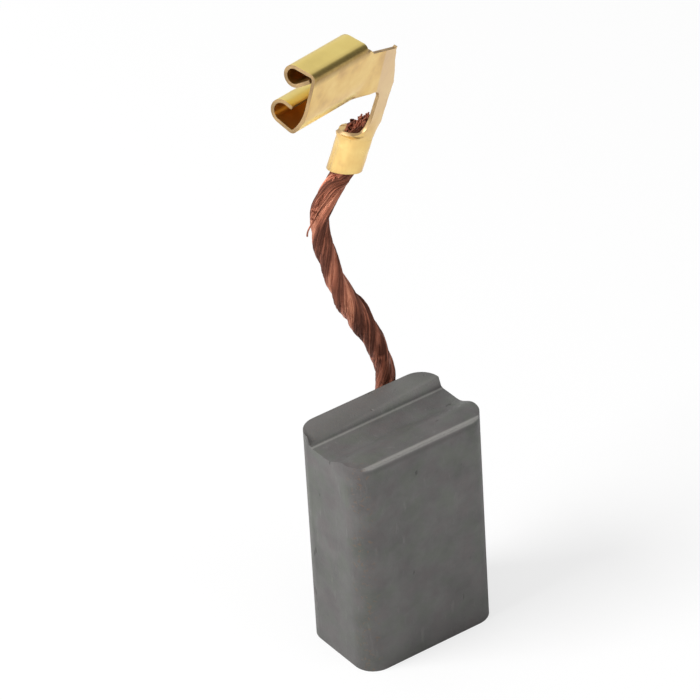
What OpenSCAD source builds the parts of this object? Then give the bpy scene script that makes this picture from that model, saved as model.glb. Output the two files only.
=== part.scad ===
// Carbon brush with a spring groove, a rope-laid copper lead and a rolled flag receptacle.
// The origin is the centre of the contact face, +Z points from that face to the grooved end,
// X runs across the broad face and -Y is the front.

/* [Carbon block] */
// Width across the broad face
block_w = 12.5; // [10:0.1:16]
// Thickness between the two broad faces
block_d = 8.2; // [6.5:0.1:10]
// Height from the contact face to the grooved end
block_h = 19.3; // [14:0.1:26]
// Leg of the chamfer on each upright edge
edge_cut = 1.1; // [0.6:0.05:1.8]
// Radius that softens both sides of each upright chamfer
edge_r = 1.6; // [0.4:0.1:1.8]
// Radius on the front edge of the grooved end
lip_r = 0.12; // [0.05:0.01:0.4]

/* [Spring groove] */
// Depth of the groove across the grooved end
groove_depth = 0.8; // [0.4:0.05:1.4]
// Depth of the raised strip behind the groove
strip_d = 2.05; // [1.2:0.05:2.6]
// Width of the groove's flat floor, fillet included
groove_floor = 2.1; // [1.2:0.1:2.6]
// Width of the smooth ramp from the floor to the front land
groove_ramp = 2.3; // [1.6:0.1:3]
// Fillet at the foot of the groove's back wall
groove_fillet = 0.3; // [0.1:0.05:0.4]

/* [Lead] */
// Diameter of the lead where it is held tight
lead_d = 1.75; // [1.2:0.05:2.1]
// Extra diameter where the slack strands stand furthest apart
lead_slack_d = 0.5; // [0:0.05:0.6]
// Length of one full turn of a strand
lead_pitch = 9.6; // [6:0.2:12]
// Distance of the lead from the middle of the block, across the width
lead_x = 3.4; // [-3:0.1:3.6]
// Distance of the lead's hole below the grooved end
lead_drop = 3.7; // [3.2:0.1:6]
// Depth of the lead's hole from the back face
lead_hole_depth = 5; // [3:0.1:6]
// Diameter of the lead's hole
lead_hole_d = 3; // [2.6:0.1:3.4]
// Radius of the lead's bend up the back face
lead_bend_r = 1.35; // [1.25:0.05:1.8]
// Space between two strands, and between a strand and what grips it
lead_clearance = 0.02; // [0.01:0.01:0.05]

/* [Receptacle] */
// Thickness of the brass sheet
sheet_t = 0.3; // [0.2:0.05:0.4]
// Length of the rolled part, from its mouth
receptacle_l = 6.8; // [5.5:0.1:8]
// Flat part of the base between the two rolls
base_flat = 2.4; // [2:0.1:3.2]
// Flat wall between the base and the upper roll
upper_wall = 1.3; // [1:0.1:1.8]
// Radius of the upper roll, to the middle of the sheet
upper_roll_r = 0.75; // [0.5:0.05:0.85]
// Straight lip that closes the upper roll
upper_lip = 1.25; // [0.6:0.05:1.3]
// Wide bend at the lower side of the base
base_bend_r = 4.15; // [3.5:0.05:5]
// Flat wall under the lower roll
lower_wall = 1.2; // [1:0.05:1.8]
// Radius of the lower roll, to the middle of the sheet
lower_roll_r = 0.87; // [0.6:0.01:1]
// Straight lip of the lower roll
lower_lip = 0.6; // [0.3:0.05:0.9]
// Turns of the receptacle about X, Y and Z
receptacle_turn = [12, 8, 19]; // [-30:1:30]

/* [Strap and crimp] */
// Distance from the crimp's foot to the receptacle's mouth
mouth_reach = 9.85; // [9.3:0.05:10.1]
// Height of the receptacle's top over the crimp's foot
receptacle_rise = 13.5; // [12.5:0.1:15]
// Length of the flat plate behind the rolls
plate_l = 4.5; // [4.2:0.1:5]
// Width of the strap between the plate and the crimp
strap_w = 1.55; // [1:0.1:2]
// Lean of the strap and the crimp against the receptacle
strap_lean = 7; // [0:1:12]
// Length of the closed crimp
crimp_l = 3.6; // [2.5:0.1:4.2]
// How much deeper than wide the crimp is
crimp_oval = 0.35; // [0:0.05:0.5]
// How much higher the crimp's foot is on the strap's side
foot_slant = 0.9; // [0:0.1:1.2]
// Length of the open trough above the crimp
trough_l = 2; // [1:0.1:2.6]
// Length of lead that stands out above the crimp
lead_tail = 1; // [0.2:0.1:1.2]
// Width of the crease where the crimp's ears meet
crease_w = 0.5; // [0.2:0.05:0.7]
// Depth of the crease
crease_depth = 0.18; // [0.05:0.01:0.2]
// Length of the ear's corner that stands off the crimp
ear_corner_l = 0.7; // [0.4:0.1:1.6]
// Height of that corner above the crimp
ear_corner_h = 0.4; // [0.2:0.1:0.8]

/* [Hidden] */

$fn = 48;
// A cutter runs this far past what it cuts
past = 1;

// The groove's edges, from back to front
groove_back = block_d / 2 - strip_d;
groove_mid = groove_back - groove_floor;
groove_front = groove_mid - groove_ramp;
// Two equal arcs make the ramp, and each spans half its run and half its rise
ramp_r = (pow(groove_ramp, 2) + pow(groove_depth, 2)) / (4 * groove_depth);

// Where the lead leaves the back face
lead_mouth = [lead_x, block_d / 2, block_h - lead_drop];
lead_r = lead_d / 2;

// The points that the lead passes between the block and the crimp, measured from the bend at
// its hole
lead_bends = [
    [0, 0, 3.2],
    [-0.2, 0, 5],
    [-1.05, 0, 7.5],
    [-2.3, 0, 10.2],
    [-3.7, 0, 13.1],
    [-4.5, 0, 15.8],
    [-5.1, 0, 18.6],
    [-5.05, 0, 20.4],
    [-4.35, 0, 21.8],
];
// The crimp's foot, measured from the top of the same bend
crimp_foot = [-2.85, 0.15, 23.15];
// The lead enters the crimp straight over this length
crimp_entry_l = 0.35;

// ---- small vector helpers ----
function unit(v) = v / norm(v);
function turn_x(v, a) = [v.x, v.y * cos(a) - v.z * sin(a), v.y * sin(a) + v.z * cos(a)];
function turn_y(v, a) = [v.x * cos(a) + v.z * sin(a), v.y, v.z * cos(a) - v.x * sin(a)];
function turn_z(v, a) = [v.x * cos(a) - v.y * sin(a), v.x * sin(a) + v.y * cos(a), v.z];
function turned(v, t) = turn_z(turn_y(turn_x(v, t.x), t.y), t.z);

// ---- the lead's centre line ----
bend_out = [0, lead_bend_r, 0];
crimp_place = lead_mouth + bend_out + crimp_foot;
crimp_axis = turned(turn_y([0, 0, 1], strap_lean), receptacle_turn);

// The quarter turn from the hole's mouth up the back face
bend_steps = 4;
bend_points = [
    for (i = [0:bend_steps])
        let (a = 90 * i / bend_steps)
        lead_mouth + lead_bend_r * [0, sin(a), 1 - cos(a)]
];
route = concat(
    [
        lead_mouth - [0, lead_hole_depth - lead_r, 0],
        lead_mouth - [0, (lead_hole_depth - lead_r) / 2, 0],
    ],
    bend_points,
    [for (p = lead_bends) lead_mouth + bend_out + p],
    [
        crimp_place - crimp_entry_l * crimp_axis,
        crimp_place + crimp_l / 2 * crimp_axis,
        crimp_place + (crimp_l + lead_tail) * crimp_axis,
    ]
);
last = len(route) - 1;

// One piece of a smooth curve through four points, from b to c, with t from 0 to 1
function along(a, b, c, d, t) =
    let (
        from_b = (c - a) * norm(c - b) / (norm(c - b) + norm(b - a)),
        into_c = (d - b) * norm(c - b) / (norm(d - c) + norm(c - b))
    )
    (2 * pow(t, 3) - 3 * pow(t, 2) + 1) * b
    + (pow(t, 3) - 2 * pow(t, 2) + t) * from_b
    + (3 * pow(t, 2) - 2 * pow(t, 3)) * c
    + (pow(t, 3) - pow(t, 2)) * into_c;

// The rings stand about this far apart
ring_gap = 0.45;
line = concat(
    [
        for (i = [0:last - 1])
            let (
                a = route[max(i - 1, 0)],
                b = route[i],
                c = route[i + 1],
                d = route[min(i + 2, last)],
                n = max(1, round(norm(c - b) / ring_gap))
            )
            for (k = [0:n - 1]) along(a, b, c, d, k / n)
    ],
    [route[last]]
);
rings = len(line);
// Length of the lead from its buried end to each ring
run = [
    for (i = 0, s = 0; i < rings; i = i + 1, s = s + (i < rings ? norm(line[i] - line[i - 1]) : 0)) s
];
lead_length = run[rings - 1];
function heading(i) = unit(line[min(i + 1, rings - 1)] - line[max(i - 1, 0)]);
// Between the block and the crimp the lay is loose and uneven: each pair is a share of that
// length, and how much of the slack it has there
crimp_start = lead_length - lead_tail - crimp_l;
free_start = lead_hole_depth + lead_bend_r;
free_end = crimp_start - lead_r;
slack = [
    [0, 0], [0.18, -0.2], [0.3, 0.35], [0.42, 1], [0.52, 0.35],
    [0.61, -0.3], [0.75, 0.05], [0.82, -0.55], [0.91, 0.1], [1, 0],
];
function lead_radius(i) =
    lead_r - lead_clearance
    + lookup((run[i] - free_start) / (free_end - free_start), slack) * lead_slack_d / 2;
// Inside the crimp the strands are pressed to its oval, and spread towards the strap
crimp_normal = turned([0, 1, 0], receptacle_turn);
function pressed(s) = crimp_oval / lead_d * min(1, max(0, (s - crimp_start) / lead_r));

// ---- one strand ----
// Three strands are laid together. Each is a wedge of the lead with a round back, whose own
// centre stands off the lead's by strand_offset, as a share of the lead's radius
strand_span = 360 / 3;
strand_offset = 0.3;
strand_points = 10;
function strand_reach(a) =
    strand_offset * cos(a) + sqrt(pow(1 - strand_offset, 2) - pow(strand_offset * sin(a), 2));
strand_outline = concat(
    [[0, 0]],
    [
        for (i = [0:strand_points])
            let (a = strand_span * (i / strand_points - 0.5))
            strand_reach(a) * [cos(a), sin(a)]
    ]
);
strand_gap = lead_clearance / 2 / sin(strand_span / 2);

function spread(v, share) = v + share * (v * crimp_normal - lead_r) * crimp_normal;

function strand_ring(i, start) =
    let (
        ahead = heading(i),
        side = unit(cross(ahead, cross([1, 0, 0], ahead))),
        up = cross(ahead, side),
        turn = start + 360 * run[i] / lead_pitch,
        r = lead_radius(i) - strand_gap
    )
    [
        for (p = strand_outline)
            let (
                q = r * p + [strand_gap, 0],
                x = q.x * cos(turn) - q.y * sin(turn),
                y = q.x * sin(turn) + q.y * cos(turn)
            )
            line[i] + spread(x * side + y * up, pressed(run[i]))
    ];

module lead_strand(number) {
    sides = len(strand_outline);
    start = strand_span * number;
    color([0.72, 0.42, 0.31])
        polyhedron(
            points = [for (i = [0:rings - 1]) each strand_ring(i, start)],
            // Neighbouring strands' flat sides are both split from the outer edge to the middle, so
            // that they match
            faces = concat(
                [[for (k = [0:sides - 1]) k]],
                [[for (k = [sides - 1:-1:0]) (rings - 1) * sides + k]],
                [
                    for (i = [0:rings - 2], k = [0:sides - 1], half = [0, 1])
                        let (
                            a = i * sides + k,
                            b = i * sides + (k + 1) % sides,
                            c = a + sides,
                            d = b + sides,
                            split = k == 0 ? [[a, c, b], [b, c, d]] : [[a, d, b], [a, c, d]]
                        )
                        split[half]
                ]
            )
        );
}

// ---- carbon block ----
// Plan outline: a rectangle with soft chamfers
module block_plan() {
    x = block_w / 2;
    y = block_d / 2;
    // Where the rounding of each chamfer's side starts and ends
    reach = edge_r * tan(22.5);
    slant = reach * cos(45);
    corner = [
        [x, y - edge_cut - reach],
        [x - slant, y - edge_cut + slant],
        [x - edge_cut + slant, y - slant],
        [x - edge_cut - reach, y],
    ];
    polygon(concat(
        corner,
        [for (i = [3:-1:0]) [-corner[i].x, corner[i].y]],
        [for (i = [0:3]) -corner[i]],
        [for (i = [3:-1:0]) [corner[i].x, -corner[i].y]]
    ));
    for (sx = [-1, 1], sy = [-1, 1]) {
        translate([sx * (x - edge_r), sy * (y - edge_cut - reach)]) circle(edge_r);
        translate([sx * (x - edge_cut - reach), sy * (y - edge_r)]) circle(edge_r);
    }
}

// Side profile, with the groove and the soft front edge at its top
module block_side() {
    floor_z = block_h - groove_depth;
    half_ramp = groove_ramp / 2;
    difference() {
        translate([-block_d / 2, 0]) square([block_d, block_h]);
        // Floor of the groove, with the fillet at the foot of its back wall
        difference() {
            translate([groove_mid, floor_z]) square([groove_floor, groove_depth + past]);
            difference() {
                translate([groove_back - groove_fillet, floor_z]) square(groove_fillet);
                translate([groove_back - groove_fillet, floor_z + groove_fillet]) circle(groove_fillet);
            }
        }
        // Hollow half of the ramp
        intersection() {
            translate([groove_mid, floor_z + ramp_r]) circle(ramp_r, $fn = 96);
            translate([groove_mid - half_ramp, floor_z]) square([half_ramp, groove_depth + past]);
        }
        // Round half of the ramp
        difference() {
            translate([groove_front, floor_z]) square([half_ramp, groove_depth + past]);
            translate([groove_front, block_h - ramp_r]) circle(ramp_r, $fn = 96);
        }
        // Front edge
        difference() {
            translate([-block_d / 2 - past, block_h - lip_r]) square([lip_r + past, lip_r + past]);
            translate([-block_d / 2 + lip_r, block_h - lip_r]) circle(lip_r);
        }
    }
}

module lead_hole() {
    translate(lead_mouth) rotate([90, 0, 0]) children();
}

module brush_block() {
    color([0.33, 0.33, 0.34])
        difference() {
            intersection() {
                linear_extrude(block_h) block_plan();
                rotate([90, 0, 90])
                    translate([0, 0, -block_w / 2 - past])
                        linear_extrude(block_w + 2 * past) block_side();
            }
            lead_hole() translate([0, 0, -past]) cylinder(d = lead_hole_d, h = lead_hole_depth + past);
        }
}

// Packed contact powder that holds the lead in its hole
module tamping_fill() {
    color([0.45, 0.33, 0.27])
        difference() {
            lead_hole() cylinder(d = lead_hole_d, h = lead_hole_depth);
            lead_hole() translate([0, 0, -past]) cylinder(r = lead_r, h = lead_hole_depth - lead_r + past);
        }
}

// ---- terminal ----
crimp_in = lead_r + lead_clearance;
crimp_out = crimp_in + sheet_t;
crimp_depth = 2 * crimp_out + crimp_oval;
// Tight bends of the section, to the middle of the sheet
upper_bend_r = 0.4;
lower_bend_r = 0.35;
// Two neighbouring stretches of the section overlap by this much
joint_lap = 0.02;
// The plate reaches this far below the base's flat part
plate_drop_h = 1.95;
// Width of the neck behind the upper roll, and drop of the plate's slanting top edge
neck_w = 0.45;
shoulder_h = 1.2;
// Depth and radius of the inside corner where the strap leaves the plate
throat_h = 0.9;
throat_r = 0.6;
// Heights of the base's flat part over the crimp's foot
flat_top = receptacle_rise - upper_bend_r - sheet_t / 2;
flat_bottom = flat_top - base_flat;

// A bent stretch of the sheet in section: part of a ring, from one angle over a sweep
module bend(r, from, sweep) {
    parts = ceil(abs(sweep) / 60);
    far = (r + sheet_t) * 2;
    difference() {
        intersection() {
            circle(r + sheet_t / 2);
            polygon(concat(
                [[0, 0]],
                [for (k = [0:parts]) let (a = from + sweep * k / parts) far * [cos(a), sin(a)]]
            ));
        }
        circle(r - sheet_t / 2);
    }
}

// A strip of sheet in section that follows a list of steps: each is a straight [length], or a
// bend as [radius, angle], with its angle positive to the left
module folded(steps, i = 0) {
    if (i < len(steps)) {
        size = steps[i][0];
        angle = len(steps[i]) > 1 ? steps[i][1] : 0;
        side = sign(angle) * size;
        // A sliver across the joint makes the strip one piece
        translate([-joint_lap, -sheet_t / 2]) square([2 * joint_lap, sheet_t]);
        if (angle == 0) {
            translate([0, -sheet_t / 2]) square([size, sheet_t]);
            translate([size, 0]) folded(steps, i + 1);
        } else {
            translate([0, side]) {
                bend(size, -90 * sign(angle), angle);
                rotate(angle) translate([0, -side]) folded(steps, i + 1);
            }
        }
    }
}

// Section of the receptacle: the upper roll is a closed drop, and the lower one is open
module receptacle_section() {
    translate([sheet_t / 2, (flat_top + flat_bottom) / 2]) {
        rotate(90)
            folded([[base_flat / 2], [upper_bend_r, -90], [upper_wall], [upper_roll_r, -222], [upper_lip]]);
        rotate(-90)
            folded([
                [base_flat / 2], [base_bend_r, 32], [lower_bend_r, 70],
                [lower_wall], [lower_roll_r, 178], [lower_lip],
            ]);
    }
}

module receptacle() {
    // The section is drawn in Y and Z, and runs along X from the mouth
    translate([-mouth_reach, 0, 0])
        rotate([90, 0, 90])
            linear_extrude(receptacle_l) receptacle_section();
}

// Flat outline of the plate behind the rolls and of the strap down to the crimp
module plate_outline() {
    front = receptacle_l - mouth_reach;
    rear = front + plate_l;
    plate_foot = flat_bottom - plate_drop_h;
    // The plate's outline ends on the leaning strap's own edges
    inner = turn_y([-strap_w / 2, 0, plate_foot - throat_h], strap_lean);
    outer = turn_y([strap_w / 2, 0, plate_foot], strap_lean);
    polygon([
        [front, flat_top],
        [front + neck_w, flat_top],
        [front + 2 * neck_w, flat_top - neck_w],
        [rear - neck_w, flat_top - shoulder_h],
        [rear, flat_top - 2.5 * shoulder_h],
        [outer.x, outer.z],
        [inner.x, inner.z],
        [inner.x - throat_r / 10, inner.z + throat_r / 2],
        [inner.x - throat_r, plate_foot - throat_r / 3],
        [front + 2 * throat_r, plate_foot],
        [front, plate_foot + throat_r],
    ]);
    rotate(-strap_lean)
        polygon([
            [-strap_w / 2, plate_foot],
            [-strap_w / 2, crimp_l + trough_l],
            [-crimp_in / 2, crimp_l],
            [crimp_in / 2, crimp_l],
            [strap_w / 2, crimp_l + trough_l],
            [strap_w / 2, plate_foot],
        ]);
}

module plate_and_strap() {
    translate([0, sheet_t, 0])
        rotate([90, 0, 0])
            linear_extrude(sheet_t) plate_outline();
}

// A round drawn out along Y, as the crimp is
module oval(r) {
    for (side = [-1, 1]) translate([0, side * crimp_oval / 2]) circle(r);
    square([2 * r, crimp_oval], center = true);
}

module crimp_ring() {
    difference() {
        oval(crimp_out);
        oval(crimp_in);
    }
}

// Closed crimp with its ears' crease, and the open trough that runs out into the strap
module crimp() {
    // The crease and the standing corner lie this far round from the strap
    crease_turn = 60;
    far = 4 * crimp_out;
    difference() {
        linear_extrude(crimp_l)
            difference() {
                crimp_ring();
                translate([0, crimp_oval / 2]) rotate(crease_turn)
                    polygon([
                        [-crease_w / 2, crimp_out + past / 10],
                        [0, crimp_out - crease_depth],
                        [crease_w / 2, crimp_out + past / 10],
                    ]);
            }
        // Slanted foot
        rotate([90, 0, 90])
            translate([0, 0, -far / 2])
                linear_extrude(far)
                    polygon([
                        [-far, -past],
                        [-far, foot_slant],
                        [-crimp_depth / 2, foot_slant],
                        [crimp_depth / 2, 0],
                        [far, 0],
                        [far, -past],
                    ]);
    }
    intersection() {
        translate([0, 0, crimp_l]) linear_extrude(trough_l) crimp_ring();
        rotate([90, 0, 90])
            translate([0, 0, -far / 2])
                linear_extrude(far)
                    polygon([
                        [-far, crimp_l],
                        [crimp_depth / 4, crimp_l],
                        [sheet_t - crimp_depth / 2, crimp_l + trough_l],
                        [-far, crimp_l + trough_l],
                    ]);
    }
    translate([0, crimp_oval / 2, 0]) rotate(crease_turn)
        translate([crease_w / 2, crimp_in + sheet_t / 2, crimp_l - ear_corner_l])
            cube([sheet_t, sheet_t / 2 + ear_corner_h, ear_corner_l]);
}

module terminal() {
    color([0.86, 0.7, 0.36])
        translate(crimp_place)
            rotate(receptacle_turn)
                translate([0, -crimp_out - crimp_oval, 0]) {
                    receptacle();
                    plate_and_strap();
                    translate([0, crimp_depth / 2, 0]) rotate([0, strap_lean, 0]) crimp();
                }
}

brush_block();
tamping_fill();
lead_strand(0);  // lead_strand_1
lead_strand(1);  // lead_strand_2
lead_strand(2);  // lead_strand_3
terminal();
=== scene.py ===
"""A carbon brush for an electric motor, dressed for its portrait.

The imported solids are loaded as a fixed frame. The block, the lead and the terminal are then
modelled again with the detail that the solids leave out, every piece is given its finish, and the
stage, the lamps and the camera are set. Pieces are modelled in millimetres, and shrunk to metres
when they are finished.
"""

import logging
import math
import random
from contextlib import contextmanager
from dataclasses import dataclass, field
from enum import Enum
from typing import Callable, Iterator, Sequence

import bmesh
import bpy
from mathutils import Matrix, Vector, noise

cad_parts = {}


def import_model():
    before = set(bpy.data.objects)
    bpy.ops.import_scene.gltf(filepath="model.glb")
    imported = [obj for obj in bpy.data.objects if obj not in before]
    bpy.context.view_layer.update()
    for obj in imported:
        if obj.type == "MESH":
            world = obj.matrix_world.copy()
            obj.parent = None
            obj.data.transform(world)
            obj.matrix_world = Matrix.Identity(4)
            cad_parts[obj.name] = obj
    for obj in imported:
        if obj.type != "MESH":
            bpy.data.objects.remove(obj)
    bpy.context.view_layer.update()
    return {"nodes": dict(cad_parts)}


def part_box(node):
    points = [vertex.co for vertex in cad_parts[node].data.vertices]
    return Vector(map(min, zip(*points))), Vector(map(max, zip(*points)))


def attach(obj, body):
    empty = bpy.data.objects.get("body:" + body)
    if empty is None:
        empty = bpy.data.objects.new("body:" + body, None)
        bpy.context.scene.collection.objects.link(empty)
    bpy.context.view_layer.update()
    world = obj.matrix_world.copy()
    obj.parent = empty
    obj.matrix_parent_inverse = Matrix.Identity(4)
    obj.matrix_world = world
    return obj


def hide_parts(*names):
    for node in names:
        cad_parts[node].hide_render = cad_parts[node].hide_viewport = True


LOG = logging.getLogger("carbon_brush")
MM = 0.001
# Rows of the terminal's strap are numbered from here, and rows below it by their height in mm
ON_STRAP = 100


# ---------------------------------------------------------------- working with Blender's tools


class Bench:
    """Holds one object at a time and works on it with Blender's own tools."""

    @staticmethod
    def take(*objects: bpy.types.Object) -> None:
        """Selects these objects and nothing else, the last one active."""
        if bpy.context.mode != "OBJECT":
            bpy.ops.object.mode_set(mode="OBJECT")
        bpy.ops.object.select_all(action="DESELECT")
        for item in objects:
            item.select_set(True)
            bpy.context.view_layer.objects.active = item

    @staticmethod
    @contextmanager
    def editing(item: bpy.types.Object) -> Iterator[bmesh.types.BMesh]:
        """Opens an object in edit mode with nothing selected.

        Args:
            item: the mesh object to edit.

        Yields:
            The edit mesh, for selecting by place or normal.
        """
        Bench.take(item)
        bpy.ops.object.mode_set(mode="EDIT")
        bpy.ops.mesh.select_all(action="DESELECT")
        yield bmesh.from_edit_mesh(item.data)
        bmesh.update_edit_mesh(item.data)
        bpy.ops.object.mode_set(mode="OBJECT")

    @staticmethod
    def pick_edges(shell: bmesh.types.BMesh, item: bpy.types.Object, test: Callable) -> None:
        """Selects the edges that pass a test.

        Args:
            shell: the edit mesh.
            item: the object that the edit mesh belongs to.
            test: takes an edge and says whether it is selected.
        """
        bpy.ops.mesh.select_mode(type="EDGE")
        for edge in shell.edges:
            edge.select_set(bool(test(edge)))
        bmesh.update_edit_mesh(item.data)

    @staticmethod
    def modify(item: bpy.types.Object, kind: str, **settings: object) -> None:
        """Adds a modifier with these settings and applies it at once."""
        Bench.take(item)
        modifier = item.modifiers.new(kind.title(), kind)
        for name, value in settings.items():
            setattr(modifier, name, value)
        bpy.ops.object.modifier_apply(modifier=modifier.name)

    @staticmethod
    def join(name: str, items: Sequence[bpy.types.Object]) -> bpy.types.Object:
        """Joins objects into one.

        Args:
            name: name of the joined object.
            items: the objects, of which the last is kept.

        Returns:
            The joined object.
        """
        Bench.take(*items)
        if len(items) > 1:
            bpy.ops.object.join()
        joined = bpy.context.view_layer.objects.active
        joined.name = name
        joined.data.name = name
        return joined

    @staticmethod
    def smooth(item: bpy.types.Object, degrees: float) -> None:
        """Shades an object smooth, except across edges sharper than this angle."""
        Bench.take(item)
        bpy.ops.object.shade_smooth_by_angle(angle=math.radians(degrees))

    @staticmethod
    def finish(item: bpy.types.Object, slot: str, *stands_for: str) -> None:
        """Shrinks a piece from millimetres to metres and hands it to the frame.

        Args:
            item: the finished piece.
            slot: a material slot's name; not used.
            stands_for: the solids that the piece replaces.
        """
        Bench.take(item)
        bpy.ops.object.transform_apply(location=True, rotation=True, scale=True)
        item.data.transform(Matrix.Scale(MM, 4))
        item.data.update()
        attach(item, "root")
        if stands_for:
            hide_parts(*stands_for)
        LOG.info("%s: %d faces", item.name, len(item.data.polygons))


# ---------------------------------------------------------------- shader expressions


class Term:
    """A shader socket that takes part in Python expressions."""

    def __init__(self, sheet: "Sheet", socket: bpy.types.NodeSocket) -> None:
        """Wraps an output socket of a sheet's node."""
        self.sheet = sheet
        self.socket = socket

    def __add__(self, other: "Term | float") -> "Term":
        """Adds."""
        return self.sheet.math("ADD", self, other)

    __radd__ = __add__

    def __mul__(self, other: "Term | float") -> "Term":
        """Multiplies."""
        return self.sheet.math("MULTIPLY", self, other)

    __rmul__ = __mul__

    def __sub__(self, other: "Term | float") -> "Term":
        """Subtracts."""
        return self.sheet.math("SUBTRACT", self, other)

    def __rsub__(self, other: "Term | float") -> "Term":
        """Subtracts from a number."""
        return self.sheet.math("SUBTRACT", other, self)


class Sheet:
    """The node tree of one material."""

    def __init__(self, name: str) -> None:
        """Starts an empty material of this name."""
        self.material = bpy.data.materials.new(name)
        self.material.use_nodes = True
        self.tree = self.material.node_tree
        self.tree.nodes.clear()

    def node(
        self,
        kind: str,
        settings: dict[str, object] | None = None,
        sockets: dict[str | int, object] | None = None,
        output: str | int = 0,
    ) -> Term:
        """Adds a node.

        Args:
            kind: the node's type.
            settings: its own settings, set first; "stops" fills a colour ramp.
            sockets: values or terms for its inputs.
            output: the output that is wanted.

        Returns:
            The wanted output.
        """
        made = self.tree.nodes.new(kind)
        for name, value in (settings or {}).items():
            if name == "stops":
                ramp = made.color_ramp
                while len(ramp.elements) < len(value):
                    ramp.elements.new(0.5)
                for element, (place, tone) in zip(ramp.elements, value):
                    element.position = place
                    element.color = (*tone, 1.0) if len(tone) == 3 else tone
            else:
                setattr(made, name, value)
        for name, value in (sockets or {}).items():
            if isinstance(value, Term):
                self.tree.links.new(value.socket, made.inputs[name])
            else:
                if isinstance(value, tuple) and made.inputs[name].type == "RGBA" and len(value) == 3:
                    value = (*value, 1.0)
                made.inputs[name].default_value = value
        return Term(self, made.outputs[output])

    def math(self, operation: str, left: "Term | float", right: "Term | float") -> Term:
        """Adds a Math node on two values."""
        return self.node("ShaderNodeMath", {"operation": operation}, {0: left, 1: right})

    def place(self) -> Term:
        """Gives the object coordinates."""
        return self.node("ShaderNodeTexCoord", output="Object")

    def axes(self, vector: Term) -> tuple[Term, Term, Term]:
        """Splits a vector into its three parts."""
        split = self.node("ShaderNodeSeparateXYZ", sockets={0: vector}).socket.node
        return tuple(Term(self, split.outputs[i]) for i in range(3))

    def stretched(self, vector: Term, turn: Sequence[float], scale: Sequence[float]) -> Term:
        """Turns coordinates by degrees, then scales them axis by axis."""
        return self.node(
            "ShaderNodeMapping",
            {"vector_type": "POINT"},
            {"Vector": vector, "Rotation": tuple(map(math.radians, turn)), "Scale": tuple(scale)},
        )

    def noise(
        self, vector: Term, size_mm: float, detail: float = 3.0, rough: float = 0.55
    ) -> Term:
        """Gives a soft noise from 0 to 1 whose patches are about this size."""
        return self.node(
            "ShaderNodeTexNoise",
            sockets={
                "Vector": vector,
                "Scale": 1.0 / (size_mm * MM),
                "Detail": detail,
                "Roughness": rough,
            },
        )

    def ramp(self, value: Term, *stops: tuple[float, Sequence[float]]) -> Term:
        """Turns a value into a colour."""
        return self.node("ShaderNodeValToRGB", {"stops": stops}, {0: value})

    def step(self, value: Term, low: float, high: float) -> Term:
        """Goes smoothly from 0 at low to 1 at high."""
        return self.node(
            "ShaderNodeMapRange",
            {"interpolation_type": "SMOOTHSTEP"},
            {0: value, 1: low, 2: high, 3: 0.0, 4: 1.0},
        )

    def mix(self, share: "Term | float", first: object, second: object, blend: str = "MIX") -> Term:
        """Mixes two colours."""
        return self.node(
            "ShaderNodeMix",
            {"data_type": "RGBA", "blend_type": blend, "clamp_factor": True},
            {0: share, 6: first, 7: second},
            output=2,
        )

    def bump(self, height: Term, depth_mm: float, strength: float) -> Term:
        """Turns a height from 0 to 1 into a normal."""
        sockets = {"Height": height, "Distance": depth_mm * MM, "Strength": strength}
        return self.node("ShaderNodeBump", sockets=sockets)

    def mark(self, name: str) -> Term:
        """Reads a value that the mesh carries for each of its points."""
        return self.node("ShaderNodeAttribute", {"attribute_name": name}, output="Fac")

    def surface(self, **sockets: object) -> bpy.types.Material:
        """Ends the material in one Principled shader.

        Args:
            sockets: its values, with underscores for the blanks in their names.

        Returns:
            The finished material.
        """
        values = {name.replace("_", " "): value for name, value in sockets.items()}
        shader = self.node("ShaderNodeBsdfPrincipled", sockets=values)
        self.node_output(shader)
        return self.material

    def node_output(self, shader: Term) -> None:
        """Connects a shader to the material's output."""
        out = self.tree.nodes.new("ShaderNodeOutputMaterial")
        self.tree.links.new(shader.socket, out.inputs["Surface"])


# ---------------------------------------------------------------- finishes


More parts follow.
